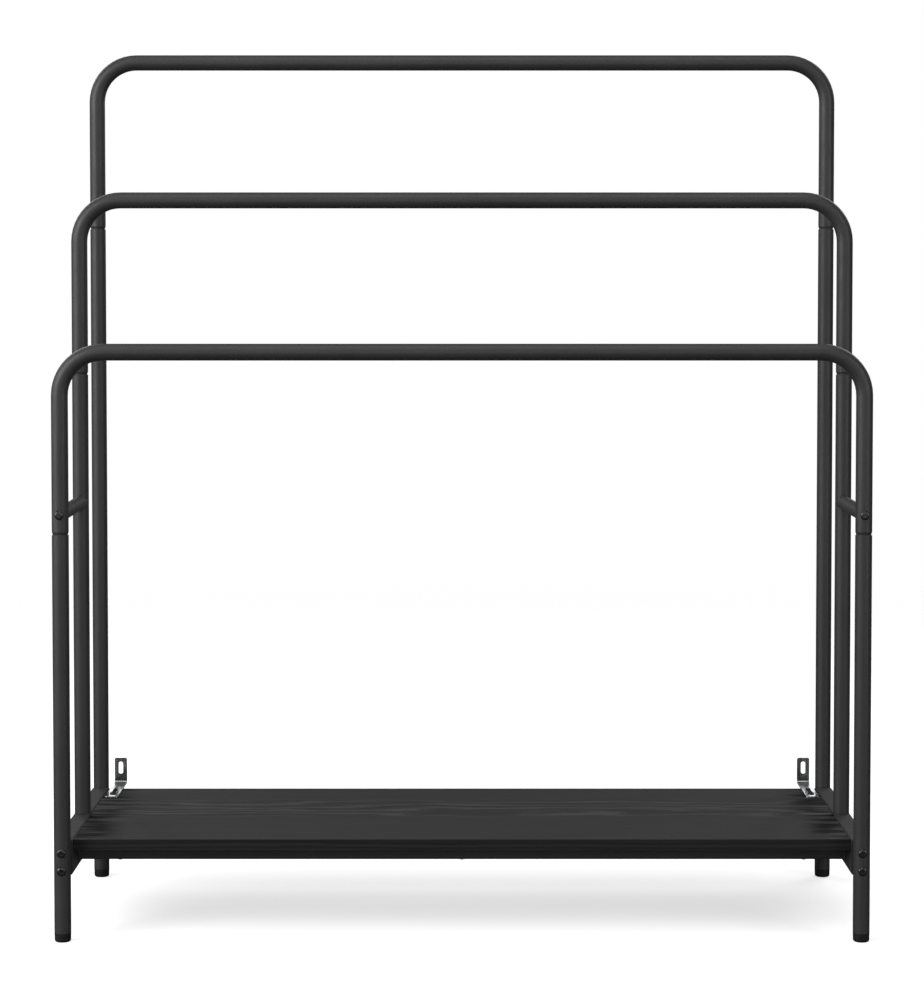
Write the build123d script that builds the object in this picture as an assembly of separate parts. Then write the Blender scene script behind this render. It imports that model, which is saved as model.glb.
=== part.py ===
from build123d import *
from math import asin, cos, sin
import os

os.makedirs("parts", exist_ok=True)

# Firewood log rack: three stepped hoops of round steel tube over a low shelf.
# Millimetres, +Z up, the front faces -Y. The origin is on the floor, under the middle of
# the whole object's width and depth.

# ---- Overall sizes ----
overall_width = 900.0      # over the outsides of the legs
overall_height = 1000.0    # floor to the top of the back hoop
hoop_step = 170.0          # each hoop stands this much above the one in front of it
leg_spacing = 331.0        # front leg axis to back leg axis
shelf_height = 110.5       # floor to the top of the shelf and of the side rails

# ---- Hoop and leg tube ----
tube_diameter = 18.5
tube_wall = 1.2
bend_radius = 47.5         # centreline of the two top bends
hoop_drop = 210.0          # top of a hoop down to the joint with its legs
neck_length = 3.6          # the hoop narrows over this length just above the joint
neck_reduction = 0.9       # how much the tube's radius shrinks over the neck
groove_height = 0.9        # straight part at the neck's lower end, a shadow line at the joint
spigot_length = 30.0       # swaged end that plugs into the leg
spigot_wall = 1.0
spigot_clearance = 0.1     # radial, between spigot and leg bore
mouth_chamfer = 0.2        # on the leg's upper edge

# ---- Side rails and cross beams ----
rail_width = 20.0
rail_height = 38.5
rail_wall = 1.2
rail_corner = 2.0
beam_width = 20.0
beam_height = 20.0
beam_wall = 1.2
beam_corner = 2.0
beam_inset = 59.0          # leg axis to the beam's outer face
end_plate_thickness = 5.0
end_plate_clearance = 0.05

# ---- Shelf ----
shelf_leg_gap = 4.0        # between the shelf's long edges and the legs
shelf_thickness = 12.0
shelf_end_clearance = 0.3  # to each side rail
edge_band_thickness = 0.5

# ---- Tie tubes between front legs and middle posts ----
tie_diameter = 16.0
tie_wall = 1.2
tie_height_above_joint = 22.5
tie_insert_length = 15.0

# ---- Machine screws in legs, ties and posts ----
screw_diameter = 6.0
screw_hole_clearance = 0.3     # radial, in the tube walls
thread_clearance = 0.05        # radial, in the threaded pieces
button_head_diameter = 10.0
button_head_height = 2.4
button_head_edge = 0.9         # straight rim under the dome
button_head_crown = 5.4        # flat round the socket
screw_point = 0.6              # chamfer on the shank's end
socket_across_flats = 4.0
socket_depth = 1.5
head_seat_depth = 0.5          # flat seat let into the round tube under each head
head_seat_clearance = 0.2
leg_screw_top_gap = 11.0       # upper rail screw below the rail's top
leg_screw_bottom_gap = 7.5     # lower rail screw above the rail's underside
post_insert_length = 20.0
post_screw_grip = 15.0         # thread length inside the post insert
access_hole_diameter = 13.0    # in the rail's underside, below each post screw
leg_screw_past_plate = 1.0     # how far a leg screw's point comes through its end plate
tie_screw_short = 3.0          # thread left free beyond a tie screw's point

# ---- Wood screws ----
wood_screw_diameter = 4.0
wood_screw_head_diameter = 8.0
wood_screw_head_height = 2.0
wood_screw_head_edge = 0.7     # straight rim under the dome
wood_screw_head_crown = 2.0
wood_screw_point = 1.5         # taper at the shank's end
wood_screw_bite = 9.0          # depth in the board
pilot_extra = 0.5              # pilot hole beyond the screw's point
shelf_screw_end_gap = 45.5     # outer screws from the side rails
cross_slot_length = 4.6
cross_slot_width = 0.9
cross_slot_depth = 0.8

# ---- Wall brackets ----
bracket_width = 15.0
bracket_thickness = 1.8
bracket_bend_radius = 1.5      # inside the bend
bracket_rise = 31.5            # above the shelf
bracket_reach = 97.0           # wall face to the front end
bracket_behind_leg = 23.4      # back leg axis to the wall face
bracket_inset = 3.8            # from the side rail's inner face
bracket_corner = 2.0
wall_slot_width = 5.6
wall_slot_length = 15.0
wall_slot_top_gap = 4.7        # slot's end to the bracket's top edge
shelf_slot_width = 5.6
shelf_slot_length = 51.0
shelf_slot_end_gap = 8.0       # slot's end to the bracket's front edge
bracket_screw_gap = 19.0       # screw's axis to the bracket's front edge

# ---- Foot caps ----
foot_height = 10.0
foot_taper = 0.3               # radius lost from the cap's top to its bottom
foot_round = 2.4
foot_plug_length = 14.0
foot_plug_clearance = 0.1
foot_plug_lead = 1.0

cut_margin = 1.0               # how far a cutting shape starts outside the surface it cuts

# ---- Places worked out from the sizes above ----
tube_radius = tube_diameter / 2
bore_radius = tube_radius - tube_wall
spigot_radius = bore_radius - spigot_clearance
leg_x = overall_width / 2 - tube_radius
rail_inner_x = leg_x - rail_width / 2
rail_length = leg_spacing - tube_diameter
beam_top = shelf_height - shelf_thickness
rail_bottom = shelf_height - rail_height
shelf_depth = rail_length - 2 * shelf_leg_gap
screw_stand_out = button_head_height - head_seat_depth

hoop_tops = {
    "front": overall_height - 2 * hoop_step,
    "middle": overall_height - hoop_step,
    "back": overall_height,
}

# The object reaches from the front screw heads to the brackets' wall faces.
front_reach = leg_spacing / 2 + tube_radius + screw_stand_out
back_reach = leg_spacing / 2 + bracket_behind_leg
middle_y = (front_reach - back_reach) / 2
hoop_y = {
    "front": middle_y - leg_spacing / 2,
    "middle": middle_y,
    "back": middle_y + leg_spacing / 2,
}
wall_face_y = hoop_y["back"] + bracket_behind_leg
tie_z = hoop_tops["front"] - hoop_drop + tie_height_above_joint
leg_screw_zs = [rail_bottom + leg_screw_bottom_gap, shelf_height - leg_screw_top_gap]
shelf_screw_xs = [shelf_screw_end_gap - rail_inner_x, 0, rail_inner_x - shelf_screw_end_gap]
sides = {"left": -1, "right": 1}


def save(name, *solids):
    """Write one node's STEP: a single solid, or a group of separate ones."""
    shape = solids[0] if len(solids) == 1 else Compound(children=list(solids))
    shape.label = name
    export_step(shape, f"parts/{name}.step")


def upright(radius, low, high):
    """A solid cylinder on the Z axis from one height to another."""
    column = Cylinder(radius, high - low, align=(Align.CENTER, Align.CENTER, Align.MIN))
    return Pos(0, 0, low) * column


def along_y(radius, start, end):
    """A solid cylinder on the Y axis between two places on it."""
    return Rot(-90, 0, 0) * upright(radius, start, end)


def turned(points):
    """A solid of revolution about Z from its half section, given as (radius, height)."""
    outline = Plane.XZ * make_face(Polyline(*points, close=True))
    return revolve(outline, axis=Axis.Z)


def screw_blank(head_radius, head_edge, head_height, crown_radius, shank_radius, point, length):
    """A domed screw, head up: its seat is at z = 0 and its shank goes down to a point.

    The dome is an arc from the head's rim to a small flat crown, level where they meet.
    """
    run, rise = head_radius - crown_radius, head_height - head_edge
    ball = (run**2 + rise**2) / (2 * rise)
    half_turn = asin(run / ball) / 2
    middle = (crown_radius + ball * sin(half_turn), head_height - ball * (1 - cos(half_turn)))
    outline = Polyline(
        (crown_radius, head_height), (0, head_height), (0, -length), (shank_radius - point, -length),
        (shank_radius, point - length), (shank_radius, 0), (head_radius, 0), (head_radius, head_edge),
    )
    rim_to_crown = ThreePointArc((head_radius, head_edge), middle, (crown_radius, head_height))
    return revolve(Plane.XZ * make_face(outline + rim_to_crown), axis=Axis.Z)


def button_screw(length):
    """A hexagon-socket button screw, head up, with its seat at z = 0."""
    screw = screw_blank(button_head_diameter / 2, button_head_edge, button_head_height,
                        button_head_crown / 2, screw_diameter / 2, screw_point, length)
    socket = extrude(RegularPolygon(socket_across_flats / 2, 6, major_radius=False), -socket_depth)
    return screw - Pos(0, 0, button_head_height) * socket


def pan_screw(length):
    """A cross-slotted wood screw, head up, with its seat at z = 0."""
    screw = screw_blank(wood_screw_head_diameter / 2, wood_screw_head_edge, wood_screw_head_height,
                        wood_screw_head_crown / 2, wood_screw_diameter / 2, wood_screw_point, length)
    for turn in (0, 90):
        slot = Box(cross_slot_length, cross_slot_width, 2 * cross_slot_depth)
        screw -= Pos(0, 0, wood_screw_head_height) * Rot(0, 0, turn) * slot
    return screw


def screw_way(outward, height, through):
    """What a screw along Y takes from an upright tube on the Z axis: hole and head seat.

    outward is -1 for a head on the front of the tube and +1 for one on its back.
    """
    seat_y = outward * (tube_radius - head_seat_depth)
    hole = along_y(screw_diameter / 2 + screw_hole_clearance, -through, through)
    head = along_y(button_head_diameter / 2 + head_seat_clearance, 0, head_seat_depth + cut_margin)
    if outward < 0:
        head = Rot(0, 0, 180) * head
    return Pos(0, 0, height) * (hole + Pos(0, seat_y, 0) * head)


def placed_leg_screw(outward, height, reach):
    """A button screw along Y through a tube on the Z axis, to `reach` past the tube."""
    seat_y = outward * (tube_radius - head_seat_depth)
    length = 2 * tube_radius - head_seat_depth + reach
    return Pos(0, seat_y, height) * Rot(-outward * 90, 0, 0) * button_screw(length)


def upper_hoop(row):
    """The bent upper tube of one hoop, with its two necks and swaged spigots."""
    top = hoop_tops[row]
    joint = top - hoop_drop
    bar_z = top - tube_radius
    neck_top = joint + neck_length
    path = FilletPolyline(
        (-leg_x, 0, neck_top), (-leg_x, 0, bar_z), (leg_x, 0, bar_z), (leg_x, 0, neck_top),
        radius=bend_radius,
    )
    start = Plane(origin=(-leg_x, 0, neck_top), z_dir=(0, 0, 1))
    hoop = sweep(start * Circle(tube_radius), path=path) - sweep(start * Circle(bore_radius), path=path)
    neck_radius = tube_radius - neck_reduction
    spigot_bore = spigot_radius - spigot_wall
    spigot_end = joint - spigot_length
    arm_end = turned([
        (bore_radius, neck_top), (tube_radius, neck_top), (neck_radius, joint + groove_height),
        (neck_radius, joint), (spigot_radius, joint), (spigot_radius, spigot_end + spigot_wall / 2),
        (spigot_radius - spigot_wall / 2, spigot_end), (spigot_bore, spigot_end),
        (spigot_bore, joint),
    ])
    for side in sides.values():
        hoop += Pos(side * leg_x, 0, 0) * arm_end
    if row == "front":
        for side in sides.values():
            hoop -= Pos(side * leg_x, 0, 0) * screw_way(-1, tie_z, 2 * tube_radius)
    return Pos(0, hoop_y[row], 0) * hoop


def lower_tube(low, joint):
    """A straight tube on the Z axis with a chamfered mouth for the hoop's spigot."""
    mouth = tube_radius - mouth_chamfer
    return turned([
        (bore_radius, low), (tube_radius, low), (tube_radius, joint - mouth_chamfer),
        (mouth, joint), (bore_radius, joint),
    ])


def leg(row, side):
    """A front or back leg, from its foot cap up to the joint, drilled for the rail."""
    outward = -1 if row == "front" else 1
    tube = lower_tube(foot_height, hoop_tops[row] - hoop_drop)
    for height in leg_screw_zs:
        tube -= screw_way(outward, height, 2 * tube_radius)
    return Pos(side * leg_x, hoop_y[row], 0) * tube


def middle_post(side):
    """A post of the middle hoop, standing on the side rail and drilled for the tie."""
    tube = lower_tube(shelf_height, hoop_tops["middle"] - hoop_drop)
    tube -= screw_way(1, tie_z, 2 * tube_radius)
    return Pos(side * leg_x, hoop_y["middle"], 0) * tube


def side_rail(side):
    """A rectangular tube between the front and back legs, drilled for its post screw."""
    outer = RectangleRounded(rail_width, rail_height, rail_corner)
    inner = RectangleRounded(rail_width - 2 * rail_wall, rail_height - 2 * rail_wall,
                             rail_corner - rail_wall)
    rail = extrude(Plane.XZ * (outer - inner), rail_length / 2, both=True)
    hole = upright(screw_diameter / 2 + screw_hole_clearance, 0, rail_height)
    access = upright(access_hole_diameter / 2, -rail_height, 0)
    rail -= hole + access
    return Pos(side * leg_x, middle_y, shelf_height - rail_height / 2) * rail


def rail_end_plates(side):
    """The two threaded plates inside a side rail's ends, flush with them."""
    gap = 2 * (rail_wall + end_plate_clearance)
    blank = extrude(
        RectangleRounded(rail_width - gap, rail_height - gap, rail_corner - rail_wall),
        end_plate_thickness,
    )
    plates = []
    for row, outward in (("front", -1), ("back", 1)):
        end_y = hoop_y[row] - outward * tube_radius
        plate = Rot(outward * 90, 0, 0) * blank
        plate = Pos(side * leg_x, end_y, shelf_height - rail_height / 2) * plate
        for height in leg_screw_zs:
            thread = along_y(screw_diameter / 2 + thread_clearance, -rail_width, rail_width)
            plate -= Pos(side * leg_x, end_y, height) * thread
        plates.append(plate)
    return plates


def cross_beam(row):
    """A square tube under the shelf between the side rails, drilled for the shelf screws."""
    outward = -1 if row == "front" else 1
    outer = RectangleRounded(beam_width, beam_height, beam_corner)
    inner = RectangleRounded(beam_width - 2 * beam_wall, beam_height - 2 * beam_wall,
                             beam_corner - beam_wall)
    beam = extrude(Plane.YZ * (outer - inner), rail_inner_x, both=True)
    for x in shelf_screw_xs:
        hole = upright(wood_screw_diameter / 2 + screw_hole_clearance, -beam_height, beam_height)
        beam -= Pos(x, 0, 0) * hole
    return Pos(0, beam_y(row, outward), beam_top - beam_height / 2) * beam


def beam_y(row, outward):
    """The middle of a cross beam, set in from the legs by its outer face."""
    return hoop_y[row] - outward * (beam_inset + beam_width / 2)


def bracket_x(side):
    return side * (rail_inner_x - bracket_inset - bracket_width / 2)


def shelf_slot_y():
    """The middle of the slot in a bracket's flat leg."""
    return wall_face_y - bracket_reach + shelf_slot_end_gap + shelf_slot_length / 2


def bracket_screw_y():
    """Where a bracket's screw stands, near the front end of that slot."""
    return wall_face_y - bracket_reach + bracket_screw_gap


def shelf_board():
    """The board's core, with blind pilot holes for the beam and bracket screws."""
    half_x = rail_inner_x - shelf_end_clearance - edge_band_thickness
    board = Box(2 * half_x, shelf_depth - 2 * edge_band_thickness, shelf_thickness)
    board = Pos(0, middle_y, shelf_height - shelf_thickness / 2) * board
    pilot = wood_screw_diameter / 2 + thread_clearance
    pilot_depth = wood_screw_bite + pilot_extra
    for row, outward in (("front", -1), ("back", 1)):
        for x in shelf_screw_xs:
            hole = upright(pilot, beam_top - cut_margin, beam_top + pilot_depth)
            board -= Pos(x, beam_y(row, outward), 0) * hole
    for side in sides.values():
        hole = upright(pilot, shelf_height - pilot_depth, shelf_height + cut_margin)
        board -= Pos(bracket_x(side), bracket_screw_y(), 0) * hole
    return board


def edge_bands():
    """Four thin strips round the board: long ones front and rear, short ones at the ends."""
    half_x = rail_inner_x - shelf_end_clearance
    half_y = shelf_depth / 2
    middle_z = shelf_height - shelf_thickness / 2
    long_strip = Box(2 * half_x, edge_band_thickness, shelf_thickness)
    short_strip = Box(edge_band_thickness, shelf_depth - 2 * edge_band_thickness, shelf_thickness)
    strips = []
    for way in (-1, 1):
        strips.append(Pos(0, middle_y + way * (half_y - edge_band_thickness / 2), middle_z) * long_strip)
        strips.append(Pos(way * (half_x - edge_band_thickness / 2), middle_y, middle_z) * short_strip)
    return strips


def upper_tie(side):
    """The round tie from front leg to middle post, its ends saddle-cut to fit both."""
    front, middle = hoop_y["front"], hoop_y["middle"]
    tie = along_y(tie_diameter / 2, front, middle) - along_y(tie_diameter / 2 - tie_wall, front, middle)
    tie = Pos(0, 0, tie_z) * tie
    for y in (front, middle):
        tie -= Pos(0, y, 0) * upright(tube_radius, tie_z - tie_diameter, tie_z + tie_diameter)
    return Pos(side * leg_x, 0, 0) * tie


def tie_inserts():
    """A threaded plug in each end of both ties."""
    inserts = []
    for side in sides.values():
        for row, inward in (("front", 1), ("middle", -1)):
            start = hoop_y[row] + inward * tube_radius
            end = start + inward * tie_insert_length
            plug = along_y(tie_diameter / 2 - tie_wall - thread_clearance, min(start, end), max(start, end))
            plug -= along_y(screw_diameter / 2 + thread_clearance, min(start, end), max(start, end))
            inserts.append(Pos(side * leg_x, 0, tie_z) * plug)
    return inserts


def post_inserts():
    """A threaded plug in the foot of each middle post."""
    plug = upright(bore_radius - thread_clearance, shelf_height, shelf_height + post_insert_length)
    plug -= upright(screw_diameter / 2 + thread_clearance, shelf_height, shelf_height + post_insert_length)
    return [Pos(side * leg_x, middle_y, 0) * plug for side in sides.values()]


def leg_rail_screws():
    """Two screws at each end of each rail, heads on the outer faces of the legs."""
    screws = []
    for side in sides.values():
        for row, outward in (("front", -1), ("back", 1)):
            for height in leg_screw_zs:
                screw = placed_leg_screw(outward, height, end_plate_thickness + leg_screw_past_plate)
                screws.append(Pos(side * leg_x, hoop_y[row], 0) * screw)
    return screws


def tie_screws():
    """A screw into each end of each tie, through the front leg or the middle post."""
    screws = []
    for side in sides.values():
        for row, outward in (("front", -1), ("middle", 1)):
            screw = placed_leg_screw(outward, tie_z, tie_insert_length - tie_screw_short)
            screws.append(Pos(side * leg_x, hoop_y[row], 0) * screw)
    return screws


def post_screws():
    """A screw up through the top wall of each rail into the post insert."""
    screw = Rot(180, 0, 0) * button_screw(rail_wall + post_screw_grip)
    return [Pos(side * leg_x, middle_y, shelf_height - rail_wall) * screw for side in sides.values()]


def shelf_screws():
    """Three screws up through each cross beam into the board, heads under the beam."""
    screw = Rot(180, 0, 0) * pan_screw(beam_height + wood_screw_bite)
    screws = []
    for row, outward in (("front", -1), ("back", 1)):
        for x in shelf_screw_xs:
            screws.append(Pos(x, beam_y(row, outward), beam_top - beam_height) * screw)
    return screws


def wall_bracket(side):
    """An angle bracket: flat leg on the shelf, upright leg with a slot for the wall screw."""
    outer_radius = bracket_bend_radius + bracket_thickness
    back, front = wall_face_y, wall_face_y - bracket_reach
    low, high = shelf_height, shelf_height + bracket_rise
    path = FilletPolyline(
        (0, front, low + bracket_thickness / 2),
        (0, back - bracket_thickness / 2, low + bracket_thickness / 2),
        (0, back - bracket_thickness / 2, high),
        radius=outer_radius - bracket_thickness / 2,
    )
    start = Plane(origin=(0, front, low + bracket_thickness / 2), x_dir=(1, 0, 0), z_dir=(0, 1, 0))
    bracket = sweep(start * Rectangle(bracket_width, bracket_thickness), path=path)
    front_corners = bracket.edges().filter_by(Axis.Z).group_by(Axis.Y)[0]
    top_corners = bracket.edges().filter_by(Axis.Y).group_by(Axis.Z)[-1]
    bracket = fillet(front_corners + top_corners, bracket_corner)
    wall_slot = extrude(Plane.XZ * SlotOverall(wall_slot_length, wall_slot_width, rotation=90),
                        2 * bracket_thickness, both=True)
    bracket -= Pos(0, back, high - wall_slot_top_gap - wall_slot_length / 2) * wall_slot
    shelf_slot = extrude(SlotOverall(shelf_slot_length, shelf_slot_width, rotation=90),
                         2 * bracket_thickness, both=True)
    bracket -= Pos(0, shelf_slot_y(), low) * shelf_slot
    return Pos(bracket_x(side), 0, 0) * bracket


def bracket_screws():
    """A wood screw through each bracket's slot into the board."""
    screw = pan_screw(bracket_thickness + wood_screw_bite)
    return [
        Pos(bracket_x(side), bracket_screw_y(), shelf_height + bracket_thickness) * screw
        for side in sides.values()
    ]


def foot_cap(row, side):
    """A plastic cap under a leg, with a plug up inside the tube."""
    bottom = tube_radius - foot_taper
    plug = bore_radius - foot_plug_clearance
    section = make_face(
        Polyline(
            (0, 0), (bottom - foot_round, 0),
        )
        + RadiusArc((bottom - foot_round, 0), (bottom, foot_round), -foot_round)
        + Polyline(
            (bottom, foot_round), (tube_radius, foot_height), (plug, foot_height),
            (plug, foot_height + foot_plug_length - foot_plug_lead),
            (plug - foot_plug_lead, foot_height + foot_plug_length),
            (0, foot_height + foot_plug_length), (0, 0),
        )
    )
    return Pos(side * leg_x, hoop_y[row], 0) * revolve(Plane.XZ * section, axis=Axis.Z)


for row in hoop_tops:
    save(f"{row}_upper_hoop", upper_hoop(row))
for side_name, side in sides.items():
    for row in ("front", "back"):
        save(f"{row}_{side_name}_leg", leg(row, side))
        save(f"{row}_{side_name}_foot_cap", foot_cap(row, side))
    save(f"middle_{side_name}_post", middle_post(side))
    save(f"{side_name}_side_rail", side_rail(side))
    save(f"{side_name}_rail_end_plates", *rail_end_plates(side))
    save(f"{side_name}_upper_tie", upper_tie(side))
    save(f"{side_name}_wall_bracket", wall_bracket(side))
for row in ("front", "back"):
    save(f"{row}_cross_beam", cross_beam(row))
save("shelf_board", shelf_board())
save("shelf_edge_bands", *edge_bands())
save("tie_inserts", *tie_inserts())
save("post_inserts", *post_inserts())
save("leg_rail_screws", *leg_rail_screws())
save("tie_screws", *tie_screws())
save("post_screws", *post_screws())
save("shelf_screws", *shelf_screws())
save("bracket_screws", *bracket_screws())
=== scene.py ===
import math

import bmesh
import bpy
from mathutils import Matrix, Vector


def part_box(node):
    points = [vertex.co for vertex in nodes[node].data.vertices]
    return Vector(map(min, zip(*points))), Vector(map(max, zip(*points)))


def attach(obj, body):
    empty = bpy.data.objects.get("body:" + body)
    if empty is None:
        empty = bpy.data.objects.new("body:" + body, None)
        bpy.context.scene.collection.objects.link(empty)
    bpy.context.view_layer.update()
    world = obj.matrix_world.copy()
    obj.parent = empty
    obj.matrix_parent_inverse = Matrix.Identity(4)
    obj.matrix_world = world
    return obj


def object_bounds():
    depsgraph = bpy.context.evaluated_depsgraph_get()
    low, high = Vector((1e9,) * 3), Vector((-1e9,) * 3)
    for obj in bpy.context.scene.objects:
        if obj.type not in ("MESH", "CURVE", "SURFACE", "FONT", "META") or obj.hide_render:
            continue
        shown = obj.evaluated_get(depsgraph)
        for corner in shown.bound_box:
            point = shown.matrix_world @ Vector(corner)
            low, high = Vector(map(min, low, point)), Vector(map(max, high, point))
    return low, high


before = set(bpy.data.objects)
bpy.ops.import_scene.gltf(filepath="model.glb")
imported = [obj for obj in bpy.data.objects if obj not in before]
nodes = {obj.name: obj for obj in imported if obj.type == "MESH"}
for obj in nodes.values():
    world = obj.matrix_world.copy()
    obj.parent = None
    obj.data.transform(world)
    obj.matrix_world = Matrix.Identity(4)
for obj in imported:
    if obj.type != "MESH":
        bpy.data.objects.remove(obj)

MM = 0.001
cad_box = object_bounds()

# ---------------------------------------------------------------- camera and lights

CAMERA_HEIGHT = 0.7363
CAMERA_TO_FRONT_LEGS = 3.0255
CAMERA_TILT = math.radians(2.610)      # looking slightly down
CAMERA_LENS = 99.6                     # on a 36 mm sensor
CAMERA_SHIFT = -0.10                   # lowers the view further without leaning the uprights
CAMERA_SIGHT = 50                      # nothing farther away is seen

AMBIENT = 0.08                         # what the room sends from everywhere
BACKDROP = 1.0                         # how bright the room looks behind the rack
FLOOR_LIFT = 0.60                      # the floor's own glow, which keeps it near white


def aim(obj, place, target):
    """Puts obj at place with its -Z axis towards target."""
    obj.location = place
    obj.rotation_mode = "QUATERNION"
    obj.rotation_quaternion = (Vector(target) - Vector(place)).to_track_quat("-Z", "Y")


def around(centre, azimuth, elevation, distance):
    """A point seen from centre: azimuth 0 is in front of the rack, and 90 to its right."""
    a, e = math.radians(azimuth), math.radians(elevation)
    away = Vector((math.sin(a) * math.cos(e), -math.cos(a) * math.cos(e), math.sin(e)))
    return Vector(centre) + away * distance


def add_camera():
    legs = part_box("front_left_leg")
    front = (legs[0].y + legs[1].y) / 2
    camera = bpy.data.objects.new("camera", bpy.data.cameras.new("camera"))
    bpy.context.scene.collection.objects.link(camera)
    camera.data.lens = CAMERA_LENS
    camera.data.shift_y = CAMERA_SHIFT
    camera.data.clip_end = CAMERA_SIGHT
    camera.location = (0, front - CAMERA_TO_FRONT_LEGS, CAMERA_HEIGHT)
    camera.rotation_euler = (math.radians(90) - CAMERA_TILT, 0, 0)
    bpy.context.scene.camera = camera


def softbox(name, azimuth, elevation, distance, size, watts):
    """A rectangular studio light that faces the middle of the rack."""
    light = bpy.data.lights.new(name, "AREA")
    light.shape = "RECTANGLE"
    light.size, light.size_y = size
    light.energy = watts
    obj = bpy.data.objects.new(name, light)
    bpy.context.scene.collection.objects.link(obj)
    centre = (cad_box[0] + cad_box[1]) / 2
    aim(obj, around(centre, azimuth, elevation, distance), centre)
    obj.visible_camera = False
    return obj


def add_lights():
    """A large key from the left, and weaker light from both sides, above, the front and the back."""
    softbox("key_light", -50, 18, 3.4, (1.4, 2.2), 65)
    softbox("side_light", -80, 13, 3.0, (1.6, 2.2), 25)
    softbox("fill_light", 50, 12, 3.4, (1.4, 2.2), 27)
    softbox("overhead_light", 0, 82, 2.6, (2.6, 2.2), 18)
    softbox("upper_front_light", 0, 55, 3.2, (2.6, 1.4), 14)
    softbox("card_light", 0, 6, 4.2, (2.4, 1.6), 17)
    softbox("left_back_light", -140, 30, 3.2, (1.6, 1.6), 20)
    softbox("right_back_light", 140, 30, 3.2, (1.6, 1.6), 20)


def add_bracket_card():
    """A white card behind the rack for the plated brackets alone, which would mirror a dark room.

    The back legs don't block it, and nothing mirrors the brackets, not even their own plates.
    """
    card = softbox("bracket_card", 180, 5, 2.6, (4.0, 2.0), 28)
    brackets = bpy.data.collections.new("plated_brackets")
    for side in ("left", "right"):
        bracket = nodes[f"{side}_wall_bracket"]
        bracket.visible_diffuse = bracket.visible_glossy = False
        brackets.objects.link(bracket)
    card.light_linking.receiver_collection = brackets
    card.light_linking.blocker_collection = brackets


def add_world():
    """A white room to the camera, which lights the rack only dimly."""
    world = bpy.data.worlds.new("studio")
    bpy.context.scene.world = world
    world.use_nodes = True
    tree = world.node_tree
    tree.nodes.clear()
    seen, dim = (tree.nodes.new("ShaderNodeBackground") for _ in range(2))
    for background, strength in ((seen, BACKDROP), (dim, AMBIENT)):
        background.inputs["Color"].default_value = grey(1.0)
        background.inputs["Strength"].default_value = strength
    path = tree.nodes.new("ShaderNodeLightPath")
    mix = tree.nodes.new("ShaderNodeMixShader")
    out = tree.nodes.new("ShaderNodeOutputWorld")
    tree.links.new(path.outputs["Is Camera Ray"], mix.inputs[0])
    tree.links.new(dim.outputs[0], mix.inputs[1])
    tree.links.new(seen.outputs[0], mix.inputs[2])
    tree.links.new(mix.outputs[0], out.inputs["Surface"])
    bpy.context.scene.view_settings.view_transform = "Standard"


# ---------------------------------------------------------------- materials

NOISE_LOW, NOISE_HIGH = 0.3, 0.7             # most of a noise pattern lies between these
EDGE_SAMPLES = 4
EDGE_START, EDGE_FULL = 0.995, 0.90          # cosines between the true and the rounded surface
# The painted shade in crevices is drawn from how much of the surroundings a point sees:
CREVICE_SAMPLES = 6
CREVICE_START, CREVICE_FULL = 0.75, 0.35     # how much of the surroundings a point still sees


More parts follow.
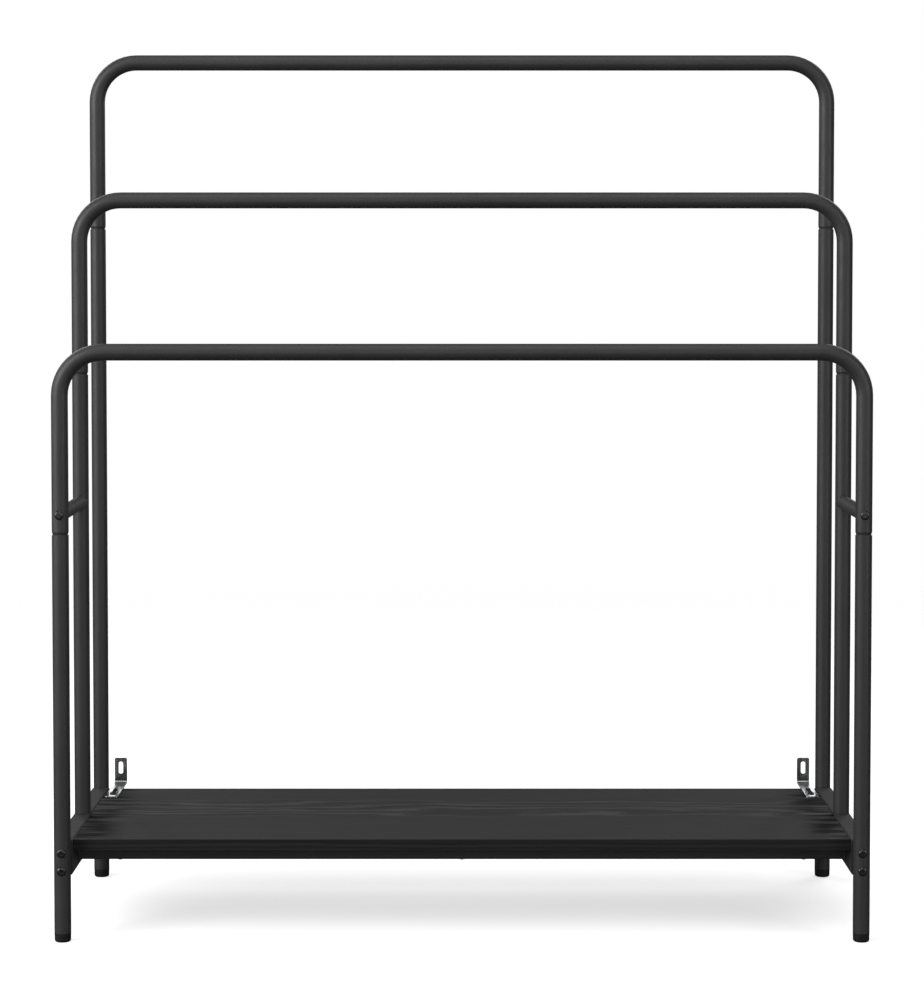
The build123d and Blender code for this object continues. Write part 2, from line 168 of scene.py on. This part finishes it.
class Shader:
    """A material's node tree, with a short call for each kind of node.

    Patterns are in metres of the rack's frame.
    """

    def __init__(self, name):
        self.material = bpy.data.materials.new(name)
        self.material.use_nodes = True
        self.tree = self.material.node_tree
        self.surface = self.tree.nodes["Principled BSDF"]
        self.place = self.node("ShaderNodeTexCoord").outputs["Object"]

    def node(self, kind, **settings):
        made = self.tree.nodes.new(kind)
        for name, value in settings.items():
            setattr(made, name, value)
        return made

    def feed(self, socket, value):
        """Links a pattern to a socket, or sets a constant on it."""
        if isinstance(value, bpy.types.NodeSocket):
            self.tree.links.new(value, socket)
        else:
            socket.default_value = value

    def set(self, **values):
        """Sets the surface's sockets: roughness=0.4 is its Roughness."""
        for name, value in values.items():
            self.feed(self.surface.inputs[name.replace("_", " ").title()], value)

    def set_specular(self, level):
        """Sets how strongly the surface mirrors, where 0.5 is usual."""
        self.feed(self.surface.inputs["Specular IOR Level"], level)

    def scaled(self, x, y, z):
        """Coordinates multiplied by x, y and z, so that a pattern has that many repeats a metre."""
        made = self.node("ShaderNodeVectorMath", operation="MULTIPLY")
        self.feed(made.inputs[0], self.place)
        made.inputs[1].default_value = (x, y, z)
        return made.outputs[0]

    def axes(self):
        """The three coordinates, each on its own."""
        made = self.node("ShaderNodeSeparateXYZ")
        self.feed(made.inputs[0], self.place)
        return made.outputs

    def joined(self, along, across, along_repeats, across_repeats):
        """Flat coordinates for a pattern that is drawn out along one way."""
        made = self.node("ShaderNodeCombineXYZ")
        self.feed(made.inputs[0], self.calc("MULTIPLY", along, along_repeats))
        self.feed(made.inputs[1], self.calc("MULTIPLY", across, across_repeats))
        return made.outputs[0]

    def noise(self, place, detail=2.0):
        made = self.node("ShaderNodeTexNoise")
        self.feed(made.inputs["Vector"], place)
        made.inputs["Scale"].default_value = 1.0
        made.inputs["Detail"].default_value = detail
        return made.outputs["Fac"]

    def mottle(self, repeats, detail=2.0):
        """Even noise in all directions."""
        return self.noise(self.scaled(repeats, repeats, repeats), detail)

    def remap(self, value, low, high, to_low=0.0, to_high=1.0):
        made = self.node("ShaderNodeMapRange", interpolation_type="SMOOTHSTEP")
        for socket, given in zip(made.inputs[:5], (value, low, high, to_low, to_high)):
            self.feed(socket, given)
        return made.outputs[0]

    def spread(self, noise, to_low=0.0, to_high=1.0):
        """A noise pattern, spread over the whole way from to_low to to_high."""
        return self.remap(noise, NOISE_LOW, NOISE_HIGH, to_low, to_high)

    def calc(self, operation, *values):
        made = self.node("ShaderNodeMath", operation=operation)
        for socket, value in zip(made.inputs, values):
            self.feed(socket, value)
        return made.outputs[0]

    def colours(self, share, a, b):
        """From colour a to colour b. A grey is given as one number."""
        made = self.node("ShaderNodeMix", data_type="RGBA")
        self.feed(made.inputs["Factor"], share)
        for socket, colour in ((made.inputs[6], a), (made.inputs[7], b)):
            self.feed(socket, grey(colour) if isinstance(colour, float) else colour)
        return made.outputs[2]

    def soft_edges(self, radius):
        """The surface's direction with its edges rounded off."""
        made = self.node("ShaderNodeBevel", samples=EDGE_SAMPLES)
        made.inputs["Radius"].default_value = radius
        return made.outputs[0]

    def edges(self, radius):
        """1 at edges sharper than radius, and 0 on open surfaces."""
        cosine = self.node("ShaderNodeVectorMath", operation="DOT_PRODUCT")
        self.feed(cosine.inputs[0], self.soft_edges(radius))
        self.feed(cosine.inputs[1], self.node("ShaderNodeNewGeometry").outputs["Normal"])
        return self.remap(cosine.outputs["Value"], EDGE_START, EDGE_FULL)

    def crevice_shade(self, reach):
        """1 in narrow gaps and inner corners, where shade falls, and 0 on open surfaces: the mask for
        painted shade.
        """
        made = self.node("ShaderNodeAmbientOcclusion", samples=CREVICE_SAMPLES)
        made.inputs["Distance"].default_value = reach
        return self.remap(made.outputs["AO"], CREVICE_START, CREVICE_FULL)

    def relief(self, height, depth, under=None):
        """A bump of that depth in metres, on top of the relief under it."""
        made = self.node("ShaderNodeBump")
        made.inputs["Distance"].default_value = depth
        self.feed(made.inputs["Height"], height)
        if under:
            self.feed(made.inputs["Normal"], under)
        return made.outputs[0]


def grey(value):
    return (value, value, value, 1)


def powder_coat():
    """Matt black powder paint: fine orange peel, slight clouds and rubbed edges, with painted shade that
    darkens its crevices and dulls their shine.
    """
    dark, light, crevice_shade_tone = 0.026, 0.031, 0.004
    rubbed_width, crevice_reach = 0.7 * MM, 2.5 * MM
    peel_depth, grit_depth = 0.10 * MM, 0.03 * MM
    s = Shader("powder_coat")
    clouds = s.remap(s.mottle(9, 3), 0.35, 0.65)
    specks = s.remap(s.mottle(1400, 1), 0.62, 0.74)
    body = s.colours(clouds, dark, light)
    body = s.colours(s.calc("MULTIPLY", specks, 0.35), body, light * 1.9)
    rubbed = s.calc("MULTIPLY", s.edges(rubbed_width), s.remap(s.mottle(160, 3), 0.45, 0.62))
    body = s.colours(s.calc("MULTIPLY", rubbed, 0.6), body, light * 2.6)
    # painted shade: crevices, joints and inner corners turn near black and less shiny, as shade falls there
    crevice_shade = s.crevice_shade(crevice_reach)
    s.set(base_color=s.colours(s.calc("MULTIPLY", crevice_shade, 0.85), body, crevice_shade_tone))
    s.set_specular(s.remap(crevice_shade, 0.0, 1.0, 0.5, 0.15))
    s.set(roughness=s.spread(s.mottle(55, 4), 0.44, 0.52))
    peel = s.relief(s.mottle(650, 2), peel_depth)
    s.set(normal=s.relief(s.mottle(2300, 1), grit_depth, peel))
    return s.material


DRIFT_REPEATS = 12           # across the grain, a metre
RIPPLE_STRETCH = 6           # times as many repeats along the grain as the drift has
RIPPLE_REPEATS = 110         # across the grain, a metre
RIPPLE_REACH = 0.5           # as a share of the spacing
PORES_ALONG, PORES_ACROSS = 34, 1500     # repeats a metre
PORE_DEPTH = 0.05 * MM


def grain_wave(s, along, across, spacing, wander, stretch):
    """A wave across the grain, from -1 to 1 and spacing long, whose crests drift by up to wander."""
    drift = s.noise(s.joined(along, across, stretch, DRIFT_REPEATS), 3)
    ripple = s.noise(s.joined(along, across, RIPPLE_STRETCH * stretch, RIPPLE_REPEATS), 2)
    place = s.calc("MULTIPLY_ADD", drift, wander, across)
    place = s.calc("MULTIPLY_ADD", ripple, RIPPLE_REACH * spacing, place)
    return s.calc("SINE", s.calc("MULTIPLY", place, 2 * math.pi / spacing))


def grain_pores(s, along, across):
    """1 in the fine short pores that run along the grain."""
    return s.remap(s.noise(s.joined(along, across, PORES_ALONG, PORES_ACROSS), 1), 0.56, 0.72)


FIGURE_DEPTH = 0.41          # the figured strip's middle: a share of the board's depth, from the rear
FIGURE_SWAY = 40 * MM        # how far that line sways
FIGURE_CORE = 32 * MM        # full strength this far to each side of it
FIGURE_REACH = 58 * MM       # and a trace beyond this
FIGURE_TRACE = 0.06
FIGURE_SPACING = 24 * MM
FIGURE_WANDER = 120 * MM
FIGURE_RELIEF = 0.5 * MM
FIGURE_LIGHT, FIGURE_DARK = 0.058, 0.010
FOIL_DARK, FOIL_LIGHT = 0.0240, 0.0285
FOIL_PORES = 0.019
FOIL_CORNER = 0.3 * MM
# Painted shade: dark streaks near the board's ends stand in for the shade and dark reflections of the legs
# and rails there.
END_SHADE_TONE = 0.003
END_SHADE_REACH = 60 * MM        # how far the dark streaks reach in from the board's ends


def laminate():
    """Black foil on board: plain, but for a strip of flat-sawn figure along it, with painted shade in dark
    streaks at its ends.
    """
    s = Shader("laminate")
    x, y, _ = s.axes()
    low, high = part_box("shelf_board")
    middle = high.y - FIGURE_DEPTH * (high.y - low.y)
    wave = grain_wave(s, x, y, FIGURE_SPACING, FIGURE_WANDER, 3.4)
    off_line = s.calc("SUBTRACT", y, middle + FIGURE_SWAY / 2)
    off_line = s.calc("MULTIPLY_ADD", s.noise(s.joined(x, y, 2.6, 0), 2), FIGURE_SWAY, off_line)
    strip = s.remap(s.calc("ABSOLUTE", off_line), FIGURE_REACH, FIGURE_CORE, FIGURE_TRACE, 1.0)
    patch = s.remap(s.noise(s.joined(x, y, 7, 36), 2), 0.34, 0.58, 0.35, 1.0)
    figure = s.calc("MULTIPLY", strip, patch)
    pores = grain_pores(s, x, y)
    body = s.colours(s.spread(s.noise(s.joined(x, y, 4, 90), 3)), FOIL_DARK, FOIL_LIGHT)
    light = s.calc("MULTIPLY", figure, s.remap(wave, 0.0, 0.8))
    dark = s.calc("MULTIPLY", figure, s.remap(wave, -0.1, -0.8))
    body = s.colours(light, body, FIGURE_LIGHT)
    body = s.colours(dark, body, FIGURE_DARK)
    body = s.colours(s.calc("MULTIPLY", pores, 0.5), body, FOIL_PORES)
    # painted shade: dark streaks and less shine near both ends of the board
    from_end = s.calc("SUBTRACT", high.x, s.calc("ABSOLUTE", x))
    near_end = s.remap(from_end, END_SHADE_REACH, 0.2 * END_SHADE_REACH)
    streaks = s.calc("MULTIPLY", near_end, s.remap(s.noise(s.joined(x, y, 9, 75), 3), 0.42, 0.54))
    body = s.colours(streaks, body, END_SHADE_TONE)
    s.set_specular(s.remap(streaks, 0.0, 1.0, 0.5, 0.12))
    s.set(base_color=body)
    s.set(roughness=s.remap(s.calc("MAXIMUM", dark, pores), 0, 1, 0.42, 0.56))
    raised = s.relief(s.calc("MULTIPLY", figure, wave), FIGURE_RELIEF, s.soft_edges(FOIL_CORNER))
    s.set(normal=s.relief(s.calc("SUBTRACT", 1.0, pores), PORE_DEPTH, raised))
    return s.material


BAND_SPACING = 5.4 * MM
BAND_WANDER = 10 * MM
BAND_RELIEF = 0.06 * MM
BAND_DARK, BAND_LIGHT = 0.0015, 0.0080
BAND_PORES = 0.002
BAND_CORNER = 0.2 * MM
# Painted shade: the band darkens towards its top, under the board's top edge.
BAND_TOP_SHADE_TONE = 0.001
BAND_TOP_DEPTH = 3.5 * MM    # the top fades to that tone from this far down
BAND_TOP_FULL = 1.5 * MM     # and has it in full from here up


def edge_band():
    """The board's edge strip: a darker foil, with close straight grain along each edge and painted shade
    along its top.
    """
    s = Shader("edge_band")
    x, y, z = s.axes()
    along = s.calc("ADD", x, y)
    wave = grain_wave(s, along, z, BAND_SPACING, BAND_WANDER, 3.0)
    pores = grain_pores(s, along, z)
    body = s.colours(s.remap(wave, -0.5, 1.0), BAND_DARK, BAND_LIGHT)
    body = s.colours(s.calc("MULTIPLY", pores, 0.5), body, BAND_PORES)
    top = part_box("shelf_edge_bands")[1].z
    # painted shade: the top few millimetres of the band darkened
    body = s.colours(s.remap(z, top - BAND_TOP_DEPTH, top - BAND_TOP_FULL), body, BAND_TOP_SHADE_TONE)
    s.set(base_color=body)
    s.set_specular(0.4)
    s.set(roughness=s.remap(pores, 0, 1, 0.58, 0.68))
    raised = s.relief(wave, BAND_RELIEF, s.soft_edges(BAND_CORNER))
    s.set(normal=s.relief(s.calc("SUBTRACT", 1.0, pores), PORE_DEPTH, raised))
    return s.material


def moulded_plastic():
    """Black polyethylene with a spark-eroded skin."""
    skin_depth, corner = 0.05 * MM, 0.4 * MM
    dark, light, scuffed = 0.006, 0.010, 0.035
    s = Shader("moulded_plastic")
    body = s.colours(s.remap(s.mottle(40, 3), 0.35, 0.65), dark, light)
    scuffs = s.remap(s.noise(s.scaled(300, 300, 90), 3), 0.62, 0.75)
    s.set(base_color=s.colours(s.calc("MULTIPLY", scuffs, 0.5), body, scuffed))
    s.set_specular(0.35)
    s.set(roughness=s.spread(s.mottle(90, 2), 0.46, 0.58))
    s.set(normal=s.relief(s.mottle(1900, 2), skin_depth, s.soft_edges(corner)))
    return s.material


def bright_zinc():
    """Zinc-plated strip: a clear shine with faint rolling streaks and a cloudy patch here and there."""
    streak_depth, corner = 0.006 * MM, 0.3 * MM
    dark, light, cloudy = (0.70, 0.72, 0.75, 1), (0.84, 0.85, 0.87, 1), (0.60, 0.61, 0.62, 1)
    s = Shader("bright_zinc")
    streaks = s.noise(s.scaled(1600, 60, 60), 2)
    clouds = s.remap(s.mottle(110, 3), 0.4, 0.65)
    tone = s.colours(s.spread(streaks), dark, light)
    s.set(base_color=s.colours(s.calc("MULTIPLY", clouds, 0.35), tone, cloudy), metallic=1.0)
    s.set(roughness=s.calc("MULTIPLY_ADD", clouds, 0.12, s.spread(streaks, 0.10, 0.18)))
    s.set(normal=s.relief(streaks, streak_depth, s.soft_edges(corner)))
    return s.material


def black_plated():
    """Screws in black zinc, worn to a grey shine on their edges."""
    worn_width, grain_depth = 0.35 * MM, 0.015 * MM
    dark, light, bared = 0.048, 0.078, 0.30
    s = Shader("black_plated")
    tone = s.colours(s.remap(s.mottle(350, 3), 0.35, 0.65), dark, light)
    worn = s.calc("MULTIPLY", s.edges(worn_width), s.remap(s.mottle(700, 2), 0.4, 0.6))
    s.set(base_color=s.colours(s.calc("MULTIPLY", worn, 0.7), tone, bared), metallic=0.85)
    s.set(roughness=s.spread(s.mottle(500, 2), 0.17, 0.27))
    s.set(normal=s.relief(s.mottle(1500, 2), grain_depth))
    return s.material


def bare_steel():
    """Mild steel inside the tubes, with drawn lines and a film of oil stain."""
    line_depth = 0.02 * MM
    dark, light, oily = (0.36, 0.35, 0.34, 1), (0.50, 0.49, 0.47, 1), (0.20, 0.16, 0.13, 1)
    s = Shader("bare_steel")
    drawn = s.noise(s.scaled(1400, 1400, 50), 2)
    stain = s.remap(s.mottle(60, 4), 0.45, 0.7)
    tone = s.colours(s.spread(drawn), dark, light)
    s.set(base_color=s.colours(s.calc("MULTIPLY", stain, 0.6), tone, oily), metallic=1.0)
    s.set(roughness=s.calc("MULTIPLY_ADD", stain, 0.2, s.spread(drawn, 0.28, 0.40)))
    s.set(normal=s.relief(drawn, line_depth))
    return s.material


finishes = {
    "frame_paint": powder_coat(),
    "shelf_laminate": laminate(),
    "edge_band": edge_band(),
    "foot_plastic": moulded_plastic(),
    "bright_zinc": bright_zinc(),
    "black_screw": black_plated(),
    "bare_steel": bare_steel(),
}

for node in nodes.values():
    slot = node.data.materials[0].name
    node.data.materials.clear()
    node.data.materials.append(finishes[slot])


# ---------------------------------------------------------------- pieces made here

def add_piece(name, shape, slot):
    """A new smooth-shaded piece that rides with the rack."""
    mesh = bpy.data.meshes.new(name)
    bmesh.ops.recalc_face_normals(shape, faces=shape.faces)
    for face in shape.faces:
        face.smooth = True
    shape.to_mesh(mesh)
    shape.free()
    piece = bpy.data.objects.new(name, mesh)
    bpy.context.scene.collection.objects.link(piece)
    mesh.materials.append(finishes[slot])
    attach(piece, "root")


def bridge(shape, rings):
    """Joins rings of points into a closed skin, with a cap at each end."""
    made = [[shape.verts.new(p) for p in ring] for ring in rings]
    for one, two in zip(made, made[1:]):
        for i in range(len(one)):
            j = (i + 1) % len(one)
            shape.faces.new((one[i], one[j], two[j], two[i]))
    shape.faces.new(made[0])
    shape.faces.new(list(reversed(made[-1])))


WELD_LEG = 2.4 * MM          # how far a bead reaches along each of the two surfaces
WELD_STEP = 0.5 * MM
WELD_RIPPLE = 2.1 * MM       # from one frozen ripple to the next
WELD_TOP_GAP = 2.0 * MM      # left free under the board
WELD_BURIED = 0.2 * MM       # how deep a bead's root lies in the metal
WELD_TURNS = 9               # points round a bead's face
WELD_START, WELD_END = 1.5, 5    # a bead's ends taper from the first of these steps to the second
WELD_FULLNESS = 1.15         # 1 would give a round face, and more a flatter one
WELD_DIP = 0.10              # share of a bead's reach that is lost between ripples
WELD_LAG = 0.35              # the ripples' curve, as a share of one ripple
WELD_WANDERS = ((0.05, 3.7 * MM), (0.04, 1.3 * MM))     # share of the reach, and length over one radian
BEAM_CORNER = 2.0 * MM
CORNER_STEPS = 6


def beam_outline(low, high):
    """Points down the beam's front, under it and up its back, each with the way it faces."""
    front, back, bottom, top = low.y, high.y, low.z, high.z - WELD_TOP_GAP
    path = []
    r = BEAM_CORNER
    side = int((top - bottom - r) / WELD_STEP)
    under = int((back - front - 2 * r) / WELD_STEP)
    for i in range(side):
        path.append((front, top - (top - bottom - r) * i / side, -1, 0))
    for i in range(CORNER_STEPS):
        a = math.pi / 2 * i / CORNER_STEPS
        path.append((front + r - r * math.cos(a), bottom + r - r * math.sin(a), -math.cos(a), -math.sin(a)))
    for i in range(under):
        path.append((front + r + (back - front - 2 * r) * i / under, bottom, 0, -1))
    for i in range(CORNER_STEPS):
        a = math.pi / 2 * i / CORNER_STEPS
        path.append((back - r + r * math.sin(a), bottom + r - r * math.cos(a), math.sin(a), -math.cos(a)))
    for i in range(side + 1):
        path.append((back, bottom + r + (top - bottom - r) * i / side, 1, 0))
    return path


def weld_bead(name, beam, rail, side):
    """The bead that joins a cross beam's end to the inner face of a side rail."""
    low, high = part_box(beam)
    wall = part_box(rail)[1].x if side < 0 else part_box(rail)[0].x
    path = beam_outline(low, high)
    slow, quick = WELD_WANDERS
    rings = []
    for i, (y, z, ny, nz) in enumerate(path):
        run = i * WELD_STEP
        from_end = WELD_START + min(i, len(path) - 1 - i)
        fade = min(1.0, from_end / WELD_END)
        ring = [(wall + side * WELD_BURIED, y - ny * WELD_BURIED, z - nz * WELD_BURIED)]
        for t in range(WELD_TURNS):
            a = math.pi / 2 * t / (WELD_TURNS - 1)
            lag = WELD_LAG * math.sin(2 * a)
            wave = 0.5 + 0.5 * math.cos(2 * math.pi * (run / WELD_RIPPLE - lag))
            wander = slow[0] * math.sin(run / slow[1] + side) + quick[0] * math.sin(run / quick[1])
            reach = WELD_LEG * fade * (1 - WELD_DIP + WELD_DIP * wave + wander)
            out = reach * math.cos(a) ** WELD_FULLNESS
            away = reach * math.sin(a) ** WELD_FULLNESS
            ring.append((wall - side * away, y + ny * out, z + nz * out))
        rings.append(ring)
    shape = bmesh.new()
    bridge(shape, rings)
    add_piece(name, shape, "frame_paint")


def add_welds():
    for end in ("front", "back"):
        for side, word in ((-1, "left"), (1, "right")):
            weld_bead(f"{end}_{word}_weld", f"{end}_cross_beam", f"{word}_side_rail", side)


add_welds()


# ---------------------------------------------------------------- floor

FLOOR_RADIUS = 4.0
FLOOR_SIDES = 96
FLOOR_SOLID = 0.9            # the floor is solid up to here
FLOOR_GONE = 3.6             # and clear from here on


def add_floor():
    """A pale floor whose far parts fade into the room."""
    shape = bmesh.new()
    bmesh.ops.create_circle(shape, cap_ends=True, segments=FLOOR_SIDES, radius=FLOOR_RADIUS)
    mesh = bpy.data.meshes.new("floor")
    shape.to_mesh(mesh)
    shape.free()
    floor = bpy.data.objects.new("floor", mesh)
    bpy.context.scene.collection.objects.link(floor)
    floor.location = (0, 0, cad_box[0].z)
    s = Shader("floor")
    s.set(base_color=grey(0.88), roughness=0.9, emission_color=grey(1.0), emission_strength=FLOOR_LIFT)
    reach = s.node("ShaderNodeVectorMath", operation="LENGTH")
    s.feed(reach.inputs[0], s.place)
    s.set(alpha=s.remap(reach.outputs["Value"], FLOOR_SOLID, FLOOR_GONE, 1.0, 0.0))
    mesh.materials.append(s.material)
    floor.visible_diffuse = floor.visible_glossy = False


add_camera()
add_lights()
add_bracket_card()
add_world()
add_floor()
